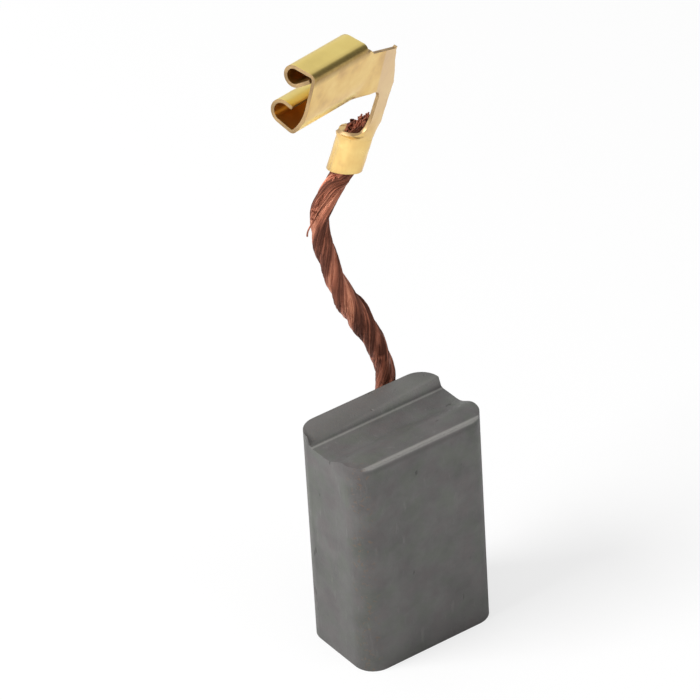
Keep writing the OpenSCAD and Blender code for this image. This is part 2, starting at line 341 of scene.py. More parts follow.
@dataclass(frozen=True)
class Graphite:
    """Pressed and sintered carbon: dark grey, faintly mottled, worn along its lips with a painted
    highlight there, with painted shade and glints at its grooved step, and painted shade towards its
    lower end.
    """

    dark: tuple[float, float, float] = (0.092, 0.090, 0.087)
    pale: tuple[float, float, float] = (0.138, 0.135, 0.130)
    roughness: float = 0.52
    top: float = 0.0193
    front: float = -0.0041
    side: float = -0.00625
    step_back: float = 0.00205
    foot: float = 0.0185

    def material(self) -> bpy.types.Material:
        """Makes the material."""
        sheet = Sheet("graphite")
        spot = sheet.place()
        x, y, z = sheet.axes(spot)
        normal = sheet.node("ShaderNodeNewGeometry", output="Normal")
        _, faces_back, faces_up = sheet.axes(normal)
        clouds = sheet.noise(spot, 2.6, 4.0, 0.62)
        grain = sheet.noise(spot, 0.14, 2.0, 0.7)
        colour = sheet.ramp(clouds * 0.8 + grain * 0.2, (0.32, self.dark), (0.68, self.pale))
        # Faint green and plum tints of the binder
        tint = sheet.noise(spot, 1.7, 2.0)
        hue = sheet.ramp(
            tint, (0.36, (0.9, 1.0, 0.87)), (0.5, (1.0, 1.0, 1.0)), (0.66, (1.0, 0.9, 0.93))
        )
        colour = sheet.mix(0.6, colour, hue, "MULTIPLY")
        # Faint slanting scuffs, and a few dark pits
        scuff = sheet.noise(sheet.stretched(spot, (0, 24, 0), (1.0, 1.0, 0.22)), 0.5, 3.0, 0.6)
        scuffed = sheet.step(scuff, 0.6, 0.76)
        colour = sheet.mix(scuffed * 0.22, colour, (0.2, 0.196, 0.188))
        pit = sheet.noise(sheet.stretched(spot, (0, -38, 10), (1.0, 1.0, 0.5)), 0.9, 2.0, 0.5)
        pitted = sheet.step(pit, 0.7, 0.75)
        colour = sheet.mix(pitted * 0.6, colour, (0.045, 0.043, 0.04))
        # The step of the grooved end: painted shade on its upright face, which faces away from the
        # light, a painted glint on its foot, and a rubbed strip behind it that is painted lighter on
        # its upward faces as a sheen
        over = sheet.step(z, self.foot - 0.0002, self.foot + 0.00005)
        # Painted shade on the step's upright face
        wall_shade = over * sheet.step(y, 0.0016, 0.0019) * (1 - sheet.step(faces_back, -0.75, -0.4))
        colour = sheet.mix(wall_shade * 0.62, colour, (0.03, 0.03, 0.029))
        # Painted glint on the fillet at the foot of the step
        foot = sheet.step(y, self.step_back - 0.00042, self.step_back - 0.00026) * (
            1 - sheet.step(y, self.step_back - 0.0002, self.step_back - 0.0001)
        ) * sheet.step(faces_up, 0.6, 0.9) * sheet.step(z, 0.0182, 0.01835)
        colour = sheet.mix(foot * (0.35 + clouds * 0.5), colour, (0.27, 0.265, 0.25))
        # The strip behind the step is rubbed, and a painted sheen lightens its upward faces
        strip = sheet.step(y, self.step_back - 0.0001, self.step_back + 0.0001) * sheet.step(
            faces_up, 0.8, 0.95
        )
        colour = sheet.mix(strip * 0.35, colour, (0.22, 0.216, 0.205))
        # Painted highlight along the worn front edge, with a painted shade line just beneath it
        near = 1 - sheet.step(y, self.front + 0.0002, self.front + 0.0004)
        lip_wear_and_highlight = sheet.step(z, self.top - 0.00034, self.top - 0.00014) * near
        colour = sheet.mix(lip_wear_and_highlight * (0.35 + grain * 0.4), colour, (0.36, 0.35, 0.33))
        # Painted shade line just beneath the front edge
        under = sheet.step(z, self.top - 0.0009, self.top - 0.0005) * (
            1 - sheet.step(z, self.top - 0.0005, self.top - 0.0003)
        ) * near
        colour = sheet.mix(under * 0.35, colour, (0.06, 0.058, 0.055))
        # Painted shade darkens the lower end, and chips brown the front left edge
        lower = 1 - sheet.step(z + (clouds - 0.5) * 0.004, 0.0, 0.011)
        colour = sheet.mix(lower * 0.32, colour, (0.058, 0.055, 0.053))
        edge = (1 - sheet.step(x, self.side + 0.0009, self.side + 0.0017)) * (
            1 - sheet.step(y, self.front + 0.0009, self.front + 0.0018)
        )
        chip = sheet.step(sheet.noise(spot, 0.35, 3.0, 0.65), 0.56, 0.66) * edge
        colour = sheet.mix(chip * 0.5, colour, (0.17, 0.11, 0.07))
        height = grain * 0.45 + clouds * 0.8 - pitted * 0.9 - scuffed * 0.2 - chip * 0.4
        rough = self.roughness + (grain - 0.5) * 0.25 - scuffed * 0.08 - lip_wear_and_highlight * 0.1 - strip * 0.06
        return sheet.surface(
            Base_Color=colour,
            Roughness=rough,
            Metallic=0.3,
            Normal=sheet.bump(height, 0.05, 0.8),
        )


@dataclass(frozen=True)
class TampedPowder:
    """Copper and graphite powder pressed round the lead: dull, brown and grainy."""

    def material(self) -> bpy.types.Material:
        """Makes the material."""
        sheet = Sheet("tamped_powder")
        spot = sheet.place()
        grain = sheet.noise(spot, 0.12, 3.0, 0.7)
        colour = sheet.ramp(
            grain, (0.35, (0.05, 0.035, 0.028)), (0.6, (0.16, 0.1, 0.07)), (0.75, (0.3, 0.17, 0.11))
        )
        return sheet.surface(
            Base_Color=colour, Roughness=0.75, Metallic=0.4, Normal=sheet.bump(grain, 0.08, 0.9)
        )


@dataclass(frozen=True)
class BareCopper:
    """Fine copper wire, browned near the block, with a little tarnish from wire to wire and painted
    shade on the wires that lie between the strands.
    """

    bright: tuple[float, float, float] = (0.62, 0.27, 0.165)
    middle: tuple[float, float, float] = (0.40, 0.142, 0.085)
    brown: tuple[float, float, float] = (0.13, 0.045, 0.028)
    root: float = 0.0165
    clean: float = 0.0285

    def material(self) -> bpy.types.Material:
        """Makes the material, which reads each wire's own tone and its painted shade from the mesh.
        """
        sheet = Sheet("bare_copper")
        spot = sheet.place()
        _, _, z = sheet.axes(spot)
        tone = sheet.mark("tone")
        sunk = sheet.mark("sunk")
        patch = sheet.noise(spot, 1.3, 3.0)
        browned = 1 - sheet.step(z, self.root, self.clean)
        # Wires that lie deep between the strands get painted shade, darker and browner
        age = tone * 0.34 + patch * 0.5 + sunk * 0.5 + browned * 0.34
        colour = sheet.ramp(age, (0.24, self.bright), (0.5, self.middle), (0.98, self.brown))
        grain = sheet.noise(spot, 0.09, 2.0)
        return sheet.surface(
            Base_Color=colour,
            Metallic=0.8,
            Roughness=0.4 + patch * 0.2 + sunk * 0.2,
            Normal=sheet.bump(grain, 0.008, 0.5),
        )


class BrassSkin(Enum):
    """The faces of the terminal's sheet."""

    OUTSIDE = "brass_outside"
    INSIDE = "brass_inside"
    CUT = "brass_cut_edge"


@dataclass(frozen=True)
class SheetBrass:
    """Thin brass strip: bright outside, with a painted highlight on the outside of its rolls and
    painted shade inside them, painted dark along its sharp bend and at the crimp's foot, a painted
    pale reflection on the strap, and browner where it was cut.
    """

    skin: BrassSkin = BrassSkin.OUTSIDE

    def material(self) -> bpy.types.Material:
        """Makes the material for this face of the sheet."""
        sheet = Sheet(self.skin.value)
        spot = sheet.place()
        haze = sheet.noise(spot, 2.0, 3.0)
        fine = sheet.noise(spot, 0.25, 2.0)
        if self.skin is BrassSkin.CUT:
            colour = sheet.ramp(haze, (0.35, (0.3, 0.2, 0.1)), (0.7, (0.55, 0.37, 0.18)))
            return sheet.surface(
                Base_Color=colour, Metallic=0.9, Roughness=0.45, Normal=sheet.bump(fine, 0.02, 0.6)
            )
        rolled = sheet.mark("rolled")
        crease = sheet.mark("crease")
        strap = sheet.mark("strap")
        colour = sheet.ramp(
            haze, (0.32, (0.86, 0.62, 0.24)), (0.52, (0.8, 0.54, 0.2)), (0.72, (0.66, 0.42, 0.17))
        )
        # Painted pale, pinkish reflection on the strap and the plate's shoulder
        colour = sheet.mix(strap * 0.6, colour, (0.74, 0.55, 0.36))
        # Painted shade inside the rolls, and a painted highlight on their outside
        if self.skin is BrassSkin.INSIDE:
            colour = sheet.mix(rolled * (0.6 + haze * 0.4), colour, (0.58, 0.29, 0.035))
        else:
            colour = sheet.mix(rolled * 0.7, colour, (0.98, 0.8, 0.24))
        # Painted dark reflection along the sharp bend under the upper roll, and painted shade at the
        # crimp's foot
        colour = sheet.mix(crease * (0.55 + fine * 0.4), colour, (0.26, 0.15, 0.045))
        scratch = sheet.noise(sheet.stretched(spot, (10, 8, 20), (0.1, 1.0, 1.0)), 0.12, 2.0)
        dent = sheet.noise(spot, 1.1, 1.0)
        return sheet.surface(
            Base_Color=colour,
            Metallic=0.95,
            Roughness=0.2 + haze * 0.16 + scratch * 0.06,
            Normal=sheet.bump(fine * 0.1 + scratch * 0.05 + dent * 0.8, 0.05, 0.5),
        )


# ---------------------------------------------------------------- carbon block


@dataclass
class CarbonBlock:
    """The moulded block, with its softened upright edges, spring groove and lead hole."""

    strip: float = 2.05
    groove_depth: float = 0.8
    fillet: float = 0.3
    fillet_rise: float = 0.12
    floor: float = 2.1
    ramp: float = 2.3
    corner: float = 1.76
    rim: float = 0.09
    hole_across: float = 1.5
    hole_depth: float = 5.0
    lead_x: float = 3.4
    lead_drop: float = 3.7
    half_y: float = field(init=False, default=0.0)
    finish: Graphite = field(default_factory=Graphite)

    def groove(self, y: float) -> float:
        """Gives the depth of the grooved end below its strip.

        Args:
            y: distance from the middle of the block towards the back, in mm.

        Returns:
            The depth, in mm.
        """
        back = self.half_y - self.strip
        into = back - y
        if into <= 0:
            return 0.0
        if into <= self.floor:
            round_off = max(0.0, self.fillet - into) / self.fillet
            return self.groove_depth - self.fillet_rise * round_off**2
        along = min(1.0, (into - self.floor) / self.ramp)
        return self.groove_depth * (0.5 + 0.5 * math.cos(math.pi * along))

    def build(self) -> bpy.types.Object:
        """Models the block in place of its solid.

        Returns:
            The finished block.
        """
        low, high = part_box("brush_block")
        size = (high - low) / MM
        self.half_y = size.y / 2
        bpy.ops.mesh.primitive_cube_add(size=1, location=(low + high) / 2 / MM)
        block = bpy.context.object
        block.name = "carbon_block"
        block.scale = size
        bpy.ops.object.transform_apply(location=True, rotation=True, scale=True)
        with Bench.editing(block) as shell:
            Bench.pick_edges(
                shell, block, lambda e: abs(e.verts[0].co.z - e.verts[1].co.z) > size.z / 2
            )
            bpy.ops.mesh.bevel(offset=self.corner, segments=9, profile=0.5, affect="EDGES")
        self._cut_groove(block, size)
        self._bore(block, size)
        Bench.modify(
            block, "BEVEL", width=self.rim, segments=3, limit_method="ANGLE",
            angle_limit=math.radians(32), use_clamp_overlap=True, miter_outer="MITER_ARC",
        )
        Bench.smooth(block, 30)
        block.data.materials.append(self.finish.material())
        Bench.finish(block, "carbon", "brush_block")
        return block

    def _cut_groove(self, block: bpy.types.Object, size: Vector) -> None:
        """Scores lines across the upper end and sinks them to the groove's section."""
        back = self.half_y - self.strip
        lines = [back, back - 0.05, back - 0.14, back - self.fillet, back - self.floor]
        steps = 14
        lines += [back - self.floor - self.ramp * (i + 1) / steps for i in range(steps)]
        with Bench.editing(block):
            for y in lines:
                bpy.ops.mesh.select_all(action="SELECT")
                bpy.ops.mesh.bisect(plane_co=(0, y, 0), plane_no=(0, 1, 0), threshold=1e-4)
        with Bench.editing(block) as shell:
            for vert in shell.verts:
                if vert.co.z > size.z - 0.01:
                    vert.co.z -= self.groove(vert.co.y - 1e-3)

    def _bore(self, block: bpy.types.Object, size: Vector) -> None:
        """Drills the lead's hole into the back face."""
        bpy.ops.mesh.primitive_cylinder_add(
            vertices=48,
            radius=self.hole_across,
            depth=2 * self.hole_depth,
            location=(self.lead_x, self.half_y, size.z - self.lead_drop),
            rotation=(math.pi / 2, 0, 0),
        )
        drill = bpy.context.object
        Bench.modify(block, "BOOLEAN", operation="DIFFERENCE", solver="EXACT", object=drill)
        bpy.data.objects.remove(drill)


# ---------------------------------------------------------------- lead


@dataclass
class LeadRoute:
    """The lead's centre line, from its buried end up to its cut end above the crimp."""

    mouth: Vector = field(default_factory=lambda: Vector((3.4, 4.1, 15.6)))
    buried: float = 4.125
    bend: float = 1.35
    bends: tuple[tuple[float, float, float], ...] = (
        (0, 0, 3.2),
        (-0.2, 0, 5),
        (-1.05, 0, 7.5),
        (-2.3, 0, 10.2),
        (-3.7, 0, 13.1),
        (-4.5, 0, 15.8),
        (-5.1, 0, 18.6),
        (-5.05, 0, 20.4),
        (-4.35, 0, 21.8),
    )
    foot: Vector = field(default_factory=lambda: Vector((-2.85, 0.15, 23.15)))
    crimp_length: float = 3.6
    tail: float = 1.0
    gap: float = 0.3

    def points(self, axis: Vector) -> list[Vector]:
        """Gives the points that the lead passes through.

        Args:
            axis: the crimp's direction, away from the block.

        Returns:
            The points, in mm.
        """
        out = Vector((0, self.bend, 0))
        foot = self.mouth + out + self.foot
        marks = [self.mouth - Vector((0, self.buried / k, 0)) for k in (1, 2)]
        for i in range(5):
            turn = math.radians(90 * i / 4)
            marks.append(self.mouth + self.bend * Vector((0, math.sin(turn), 1 - math.cos(turn))))
        marks += [self.mouth + out + Vector(p) for p in self.bends]
        marks.append(foot - 0.35 * axis)
        marks.append(foot + self.crimp_length / 2 * axis)
        marks.append(foot + (self.crimp_length + self.tail) * axis)
        return marks

    @staticmethod
    def between(a: Vector, b: Vector, c: Vector, d: Vector, t: float) -> Vector:
        """Gives a point of the smooth curve from b to c, with t from 0 to 1."""
        into_b = (c - a) * ((c - b).length / ((c - b).length + (b - a).length))
        into_c = (d - b) * ((c - b).length / ((d - c).length + (c - b).length))
        return (
            (2 * t**3 - 3 * t**2 + 1) * b
            + (t**3 - 2 * t**2 + t) * into_b
            + (3 * t**2 - 2 * t**3) * c
            + (t**3 - t**2) * into_c
        )

    def line(self, axis: Vector) -> list[Vector]:
        """Gives closely spaced points of the centre line."""
        marks = self.points(axis)
        last = len(marks) - 1
        line: list[Vector] = []
        for i in range(last):
            a, b, c, d = marks[max(i - 1, 0)], marks[i], marks[i + 1], marks[min(i + 2, last)]
            n = max(1, round((c - b).length / self.gap))
            line += [self.between(a, b, c, d, k / n) for k in range(n)]
        return line + [marks[last]]


@dataclass
class Lead:
    """Three strands of fine wire laid together, and the loose hairs at the crimp."""

    terminal: "Terminal"
    route: LeadRoute = field(default_factory=LeadRoute)
    radius: float = 0.875
    slack: float = 0.25
    looseness: tuple[tuple[float, float], ...] = (
        (0, 0),
        (0.18, -0.2),
        (0.3, 0.35),
        (0.42, 1),
        (0.52, 0.35),
        (0.61, -0.3),
        (0.75, 0.05),
        (0.82, -0.55),
        (0.91, 0.1),
        (1, 0),
    )
    hole_depth: float = 5.0
    clearance: float = 0.02
    steps: int = 240
    pitch: float = 9.6
    offset: float = 0.3
    wires: int = 26
    core: int = 14
    hairs: int = 7
    wire: float = 0.072
    wire_pitch: float = 21.0
    stub: float = 0.95
    cut_slant: float = 0.75
    fray: float = 0.14
    finish: BareCopper = field(default_factory=BareCopper)

    def section(self) -> list[Vector]:
        """Gives the rounded outline of one strand for a lead of radius 1."""
        raw = [Vector((0.05, 0))]
        for i in range(13):
            turn = math.radians(120 * (i / 12 - 0.5)) * 0.97
            reach = self.offset * math.cos(turn) + math.sqrt(
                (1 - self.offset) ** 2 - (self.offset * math.sin(turn)) ** 2
            )
            raw.append(reach * Vector((math.cos(turn), math.sin(turn))))
        for _ in range(2):
            raw = [
                point
                for a, b in zip(raw, raw[1:] + raw[:1])
                for point in (a.lerp(b, 0.25), a.lerp(b, 0.75))
            ]
        return raw

    def loose(self, share: float) -> float:
        """Gives how loose the lay is at a share of the free length, smoothly."""
        wide = 0.04
        reads = [
            Terminal.between(self.looseness, min(1.0, max(0.0, share + wide * k / 3)))
            for k in range(-3, 4)
        ]
        return sum(reads) / len(reads)

    @staticmethod
    def round_the(outline: Sequence[Vector], share: float) -> Vector:
        """Gives the point at a share of the way round a closed outline."""
        lengths = [(b - a).length for a, b in zip(outline, [*outline[1:], outline[0]])]
        left = (share % 1.0) * sum(lengths)
        for i, length in enumerate(lengths):
            if left <= length:
                return outline[i].lerp(outline[(i + 1) % len(outline)], left / length)
            left -= length
        return outline[0]

    def build(self) -> list[bpy.types.Object]:
        """Models the three strands and the hairs.

        Returns:
            The finished pieces.
        """
        axis = self.terminal.crimp_axis()
        normal = self.terminal.turn() @ Vector((0, 1, 0))
        line = self.route.line(axis)
        runs = [0.0]
        for a, b in zip(line, line[1:]):
            runs.append(runs[-1] + (b - a).length)
        whole = runs[-1]
        free_start = self.hole_depth + self.route.bend
        free_end = whole - self.route.tail - self.route.crimp_length - self.radius
        crimp_start = whole - self.route.tail - self.route.crimp_length
        outline = self.section()
        table = [self.round_the(outline, k / self.steps) for k in range(self.steps)]
        frames = []
        for i, point in enumerate(line):
            ahead = (line[min(i + 1, len(line) - 1)] - line[max(i - 1, 0)]).normalized()
            side = ahead.cross(Vector((1, 0, 0)).cross(ahead)).normalized()
            share = (runs[i] - free_start) / (free_end - free_start)
            swell = self.loose(share)
            press = min(1.0, max(0.0, (runs[i] - crimp_start) / self.radius))
            press = press * self.terminal.oval / (2 * self.radius)
            frames.append(
                (point, side, ahead.cross(side), runs[i], self.radius + swell * self.slack, press)
            )
        material = self.finish.material()
        pieces = []
        chance = random.Random(7)
        across = self.terminal.turn() @ Vector((0.75, -0.66, 0))
        for strand in range(3):
            paths: list[list[Vector]] = []
            tones: list[list[tuple[float, float]]] = []
            for w in range(self.wires + self.core):
                inner = w >= self.wires
                depth = chance.uniform(0.15, 0.8) if inner else 1.0
                start = whole - self.route.tail - 1.2 if inner else 0.0
                wander = chance.uniform(0, 6.28)
                amount = chance.uniform(0.01, 0.045)
                tone = chance.random()
                path, shades = [], []
                for point, side, up, run, radius, press in frames:
                    if run < start:
                        continue
                    share = w / (self.core if inner else self.wires) - run / self.wire_pitch
                    outer = table[int((share % 1.0) * self.steps) % self.steps]
                    q = outer * (radius - self.clearance - self.wire) * depth
                    wave = amount * math.sin(run * 1.7 + wander)
                    q = q * (1 + wave + 0.015 * math.sin(run * 4.1 + 2 * wander))
                    turn = math.radians(120 * strand) + 2 * math.pi * run / self.pitch
                    x = q.x * math.cos(turn) - q.y * math.sin(turn)
                    y = q.x * math.sin(turn) + q.y * math.cos(turn)
                    off = x * side + y * up
                    off += press * (off.dot(normal) - self.radius) * normal
                    ends = whole - self.route.tail + self._stub(off.dot(across) / self.radius, wander)
                    if run > ends:
                        break
                    path.append(point + off)
                    # The second value is how deep the wire lies between the strands, which the copper
                    # paints as shade
                    shades.append((tone, min(1.0, max(0.0, (0.86 - outer.length) / 0.36))))
                longer = ends - run
                if longer > 0.02:
                    path.append(path[-1] + axis * longer)
                    shades.append((0.1, 0.0))
                if len(path) > 1:
                    paths.append(path)
                    tones.append(shades)
            if strand == 0:
                self._hairs(paths, tones, frames, crimp_start, chance)
            piece = self._wires(f"strand_{strand + 1}", paths, tones, self.wire)
            piece.data.materials.append(material)
            Bench.finish(piece, "copper_lead", f"lead_strand_{strand + 1}")
            pieces.append(piece)
        return pieces

    def _stub(self, across: float, wander: float) -> float:
        """Gives how far a wire's cut end stands above the crimp.

        Args:
            across: the wire's place over the slant of the cut, from -1 to 1.
            wander: the wire's own number.

        Returns:
            The length above the crimp, in mm.
        """
        return self.stub + self.cut_slant * across + self.fray * math.sin(5 * wander)

    def _hairs(
        self,
        paths: list[list[Vector]],
        tones: list[list[tuple[float, float]]],
        frames: Sequence[tuple],
        crimp_start: float,
        chance: random.Random,
    ) -> None:
        """Adds the loose wires that stand off the lead below the crimp.

        Args:
            paths: the wires' centre lines, which the hairs join.
            tones: the wires' tones and the depths that set their painted shade, likewise.
            frames: the lead's own points, each with its directions, run, radius and flatness.
            crimp_start: how far along the lead the crimp begins.
            chance: the source of the hairs' differences.
        """
        left = self.terminal.turn() @ Vector((-1, 0, 0))
        near = min(frames, key=lambda f: abs(f[3] - (crimp_start - 0.4)))
        place = frames.index(near)
        for k in range(self.hairs):
            point, side, _, _, radius, _ = frames[max(0, place - 2 * k)]
            ahead = (frames[place + 1][0] - point).normalized()
            root = point + left * radius * 0.93
            reach = chance.uniform(0.35, 0.8)
            fall = chance.uniform(0.5, 1.5)
            lean = chance.uniform(-0.35, 0.35)
            path = []
            for i in range(9):
                t = i / 8
                out = reach * math.sin(math.pi * min(1.0, 0.12 + 0.8 * t)) - 0.12
                swing = left + side * lean
                path.append(root + swing.normalized() * out + ahead * (0.3 - fall * t))
            paths.append(path)
            # The hairs get a little painted shade
            tones.append([(chance.random(), 0.3)] * len(path))

    @staticmethod
    def _wires(
        name: str,
        paths: Sequence[Sequence[Vector]],
        tones: Sequence[Sequence[tuple[float, float]]],
        radius: float,
    ) -> bpy.types.Object:
        """Sweeps a round wire along each path and makes one mesh of them.

        Args:
            name: name of the piece.
            paths: the wires' centre lines.
            tones: for each point of each wire, its tone and how deep it lies, from 0 to 1, which sets
                its painted shade.
            radius: the wires' radius.

        Returns:
            The mesh, with these in its "tone" and "sunk" attributes.
        """
        curve = bpy.data.curves.new(name, "CURVE")
        curve.dimensions = "3D"
        curve.bevel_depth = radius
        curve.bevel_resolution = 1
        curve.use_fill_caps = True
        for path in paths:
            spline = curve.splines.new("POLY")
            spline.points.add(len(path) - 1)
            for mark, place in zip(spline.points, path):
                mark.co = (*place, 1)
        piece = bpy.data.objects.new(name, curve)
        bpy.context.scene.collection.objects.link(piece)
        Bench.take(piece)
        bpy.ops.object.convert(target="MESH")
        piece = bpy.context.object
        mesh = piece.data
        flat = [pair for shades in tones for pair in shades]
        each = len(mesh.vertices) // len(flat)
        for part, label in enumerate(("tone", "sunk")):
            mark = mesh.attributes.new(label, "FLOAT", "POINT")
            values = [pair[part] for pair in flat for _ in range(each)]
            values += [0.5] * (len(mesh.vertices) - len(values))
            mark.data.foreach_set("value", values)
        Bench.smooth(piece, 60)
        return piece


# ---------------------------------------------------------------- terminal


@dataclass
class Fold:
    """Walks along a bent strip's section: straights and bends, one after the other."""

    y: float
    z: float
    heading: float
    marks: list[Vector] = field(default_factory=list)

    def straight(self, length: float, parts: int = 4) -> "Fold":
        """Goes straight on."""
        for _ in range(parts):
            self.y += length / parts * math.cos(self.heading)
            self.z += length / parts * math.sin(self.heading)
            self.marks.append(Vector((self.y, self.z)))
        return self

    def bend(self, radius: float, degrees: float, parts: int) -> "Fold":
        """Bends, to the left if the angle is positive."""
        side = math.copysign(1, degrees)
        cy = self.y - side * radius * math.sin(self.heading)
        cz = self.z + side * radius * math.cos(self.heading)
        for _ in range(parts):
            self.heading += math.radians(degrees) / parts
            self.y = cy + side * radius * math.sin(self.heading)
            self.z = cz - side * radius * math.cos(self.heading)
            self.marks.append(Vector((self.y, self.z)))
        return self


@dataclass
class Terminal:
    """The flag receptacle, pressed from one brass blank and crimped on the lead."""

    place: Vector = field(default_factory=lambda: Vector((0.55, 5.6, 38.75)))
    turns: tuple[float, float, float] = (12.0, 8.0, 19.0)
    sheet: float = 0.3
    reach: float = 9.85
    rise: float = 13.5
    length: float = 6.8
    plate: float = 4.5
    strap: float = 1.55
    lean: float = 7.0
    crimp: float = 3.6
    oval: float = 0.35
    slant: float = 0.9
    trough: float = 2.0
    grip: float = 0.895
    drop: float = 1.95
    neck: float = 0.45
    shoulder: float = 1.2
    throat: float = 0.6
    throat_drop: float = 0.9
    trough_reach: float = 1.3
    trough_open: float = 1.15
    seam_width: float = 0.45
    seam_dip: float = 0.09
    tab_width: float = 0.7
    tab_height: float = 0.8
    tab_lift: float = 0.5
    left_ear: float = 2.5
    base_flat: float = 2.4
    base_bend: tuple[float, float] = (4.15, 32)
    upper_bend: tuple[float, float] = (0.4, -90)
    upper_wall: float = 1.3
    upper_roll: tuple[float, float] = (0.75, -222)
    upper_lip: float = 1.2
    lower_bend: tuple[float, float] = (0.35, 70)
    lower_wall: float = 1.2
    lower_roll: tuple[float, float] = (0.87, 178)
    lower_lip: float = 0.6
    across: int = 40
    rows: int = 14

    def turn(self) -> Matrix:
        """Gives the terminal's turn."""
        rx, ry, rz = (math.radians(a) for a in self.turns)
        return (
            Matrix.Rotation(rz, 3, "Z") @ Matrix.Rotation(ry, 3, "Y") @ Matrix.Rotation(rx, 3, "X")
        )

    def crimp_axis(self) -> Vector:
        """Gives the crimp's direction, away from the block."""
        lean = Matrix.Rotation(math.radians(self.lean), 3, "Y")
        return self.turn() @ lean @ Vector((0, 0, 1))

    def seat(self) -> Matrix:
        """Gives the matrix from the terminal's own frame to the object's."""
        out = Vector((0, -(self.grip + self.sheet) - self.oval, 0))
        return Matrix.Translation(self.place) @ self.turn().to_4x4() @ Matrix.Translation(out)

    def __post_init__(self) -> None:
        """Works out the sizes that follow from the others."""
        self.flat_top = self.rise - self.upper_bend[0] - self.sheet / 2
        self.flat_bottom = self.flat_top - self.base_flat
        self.front = self.length - self.reach
        self.rear = self.front + self.plate
        self.foot = self.flat_bottom - self.drop
        self.middle = self.sheet / 2
        self.depth = 2 * (self.grip + self.sheet) + self.oval
        self.wrap = self.grip + self.sheet / 2
        self.round = 2 * math.pi * self.wrap + 2 * self.oval
        self.inner = self._leant(-self.strap / 2, self.foot - self.throat_drop)
        self.outer = self._leant(self.strap / 2, self.foot)

    def _leant(self, x: float, z: float) -> Vector:
        """Turns a point of the leaning strap's frame into the plate's."""
        a = math.radians(self.lean)
        return Vector((x * math.cos(a) + z * math.sin(a), z * math.cos(a) - x * math.sin(a)))

    def build(self) -> bpy.types.Object:
        """Folds the blank panel by panel, joins the panels and gives the sheet its thickness.

        Returns:
            The finished terminal.
        """
        back = Fold(self.middle, self.flat_bottom, -math.pi / 2).bend(*self.base_bend, 8)
        base = [Vector((p.x, p.y)) for p in reversed(back.marks)]
        flat = self.flat_top - self.flat_bottom
        base += [
            Vector((self.middle, self.flat_bottom + flat * k / self.rows))
            for k in range(self.rows + 1)
        ]
        upper = Fold(self.middle, self.flat_top, math.pi / 2)
        upper.marks.append(Vector((upper.y, upper.z)))
        upper.bend(*self.upper_bend, 8).straight(self.upper_wall, 5)
        upper.bend(*self.upper_roll, 22).straight(self.upper_lip, 5)
        lower = Fold(back.y, back.z, back.heading)
        lower.marks.append(Vector((lower.y, lower.z)))
        lower.bend(*self.lower_bend, 6).straight(self.lower_wall, 5)
        lower.bend(*self.lower_roll, 20).straight(self.lower_lip, 3)
        along = [-self.reach + self.length * k / 26 for k in range(27)]
        panels = [
            self._panel(along, section, lambda x, p: Vector((x, p.x, p.y)))
            for section in (base, upper.marks, lower.marks)
        ]
        low, high = base[0].y, base[-1].y
        shares = [(p.y - low) / (high - low) for p in base]
        bulges = [p.x - self.middle for p in base]
        left = [self.front + (self.inner.x - self.front) * k / 14 for k in range(15)]
        ranks = list(range(len(base)))
        panels.append(self._panel(left, ranks, lambda x, k: self._plate(x, shares[k], bulges[k])))
        cross = [k / self.across for k in range(self.across + 1)]
        panels.append(self._panel(cross, ranks, lambda c, k: self._shoulder(c, shares[k])))
        panels.append(self._panel(cross, self._levels(), self._strap))
        terminal = Bench.join("flag_terminal", panels)
        with Bench.editing(terminal):
            bpy.ops.mesh.select_all(action="SELECT")
            bpy.ops.mesh.remove_doubles(threshold=0.004)
            bpy.ops.mesh.normals_make_consistent(inside=False)
        self._burrs(terminal)
        self._mark(terminal, "rolled", self._rolled)
        self._mark(terminal, "crease", self._creased)
        self._mark(terminal, "strap", self._strapped)
        for skin in (BrassSkin.OUTSIDE, BrassSkin.INSIDE, BrassSkin.CUT):
            terminal.data.materials.append(SheetBrass(skin).material())
        Bench.modify(
            terminal, "SOLIDIFY", thickness=self.sheet * 0.97, offset=0.0, material_offset=1,
            material_offset_rim=2, use_even_offset=False,
        )
        Bench.modify(
            terminal, "BEVEL", width=0.05, segments=2, limit_method="ANGLE",
            angle_limit=math.radians(50), use_clamp_overlap=True,
        )
        with Bench.editing(terminal):
            bpy.ops.mesh.select_all(action="SELECT")
            bpy.ops.mesh.normals_make_consistent(inside=False)
        terminal.data.transform(self.seat())
        Bench.smooth(terminal, 40)
        Bench.finish(terminal, "brass_sheet", "terminal")
        return terminal

    @staticmethod
    def _mark(terminal: bpy.types.Object, name: str, value: Callable) -> None:
        """Writes a value for each point of the blank, by its place, for the brass to read."""
        mark = terminal.data.attributes.new(name, "FLOAT", "POINT")
        mark.data.foreach_set("value", [float(value(v.co)) for v in terminal.data.vertices])

    def _rolled(self, p: Vector) -> float:
        """Gives 1 on the rolls, where shade inside and a highlight outside are painted, and 0 on the
        flat of the sheet.
        """
        if p.x > self.front + 0.01:
            return 0.0
        above, below = p.z - self.flat_top, self.flat_bottom - 1.0 - p.z
        beyond = max(above, below, (p.y - self.middle - 0.9) / 2)
        return min(1.0, max(0.0, beyond / 0.4))

    def _creased(self, p: Vector) -> float:
        """Gives 1 along the sharp bend under the upper roll, where a dark reflection is painted, and
        less at the crimp's foot, where shade is painted.
        """
        if p.x <= self.front + self.neck and p.z > self.flat_top - 1.2:
            off = math.hypot(p.y - self.middle, p.z - self.flat_top - 0.1)
            return max(0.0, 1 - off / 0.62) if p.y < self.middle + 0.6 else 0.0
        if p.z < self.crimp + 0.2 and p.x < 2.4:
            return max(0.0, 1 - max(0.0, p.z) / 1.1) * 0.6
        return 0.0

    def _strapped(self, p: Vector) -> float:
        """Gives 1 on the strap and the plate's shoulder, where a pale reflection is painted, and
        fades to 0 at the crimp.
        """
        if p.x <= self.inner.x - 0.5:
            return 0.0
        return self.between(((self.crimp, 0), (self.crimp + 3, 1)), p.z)

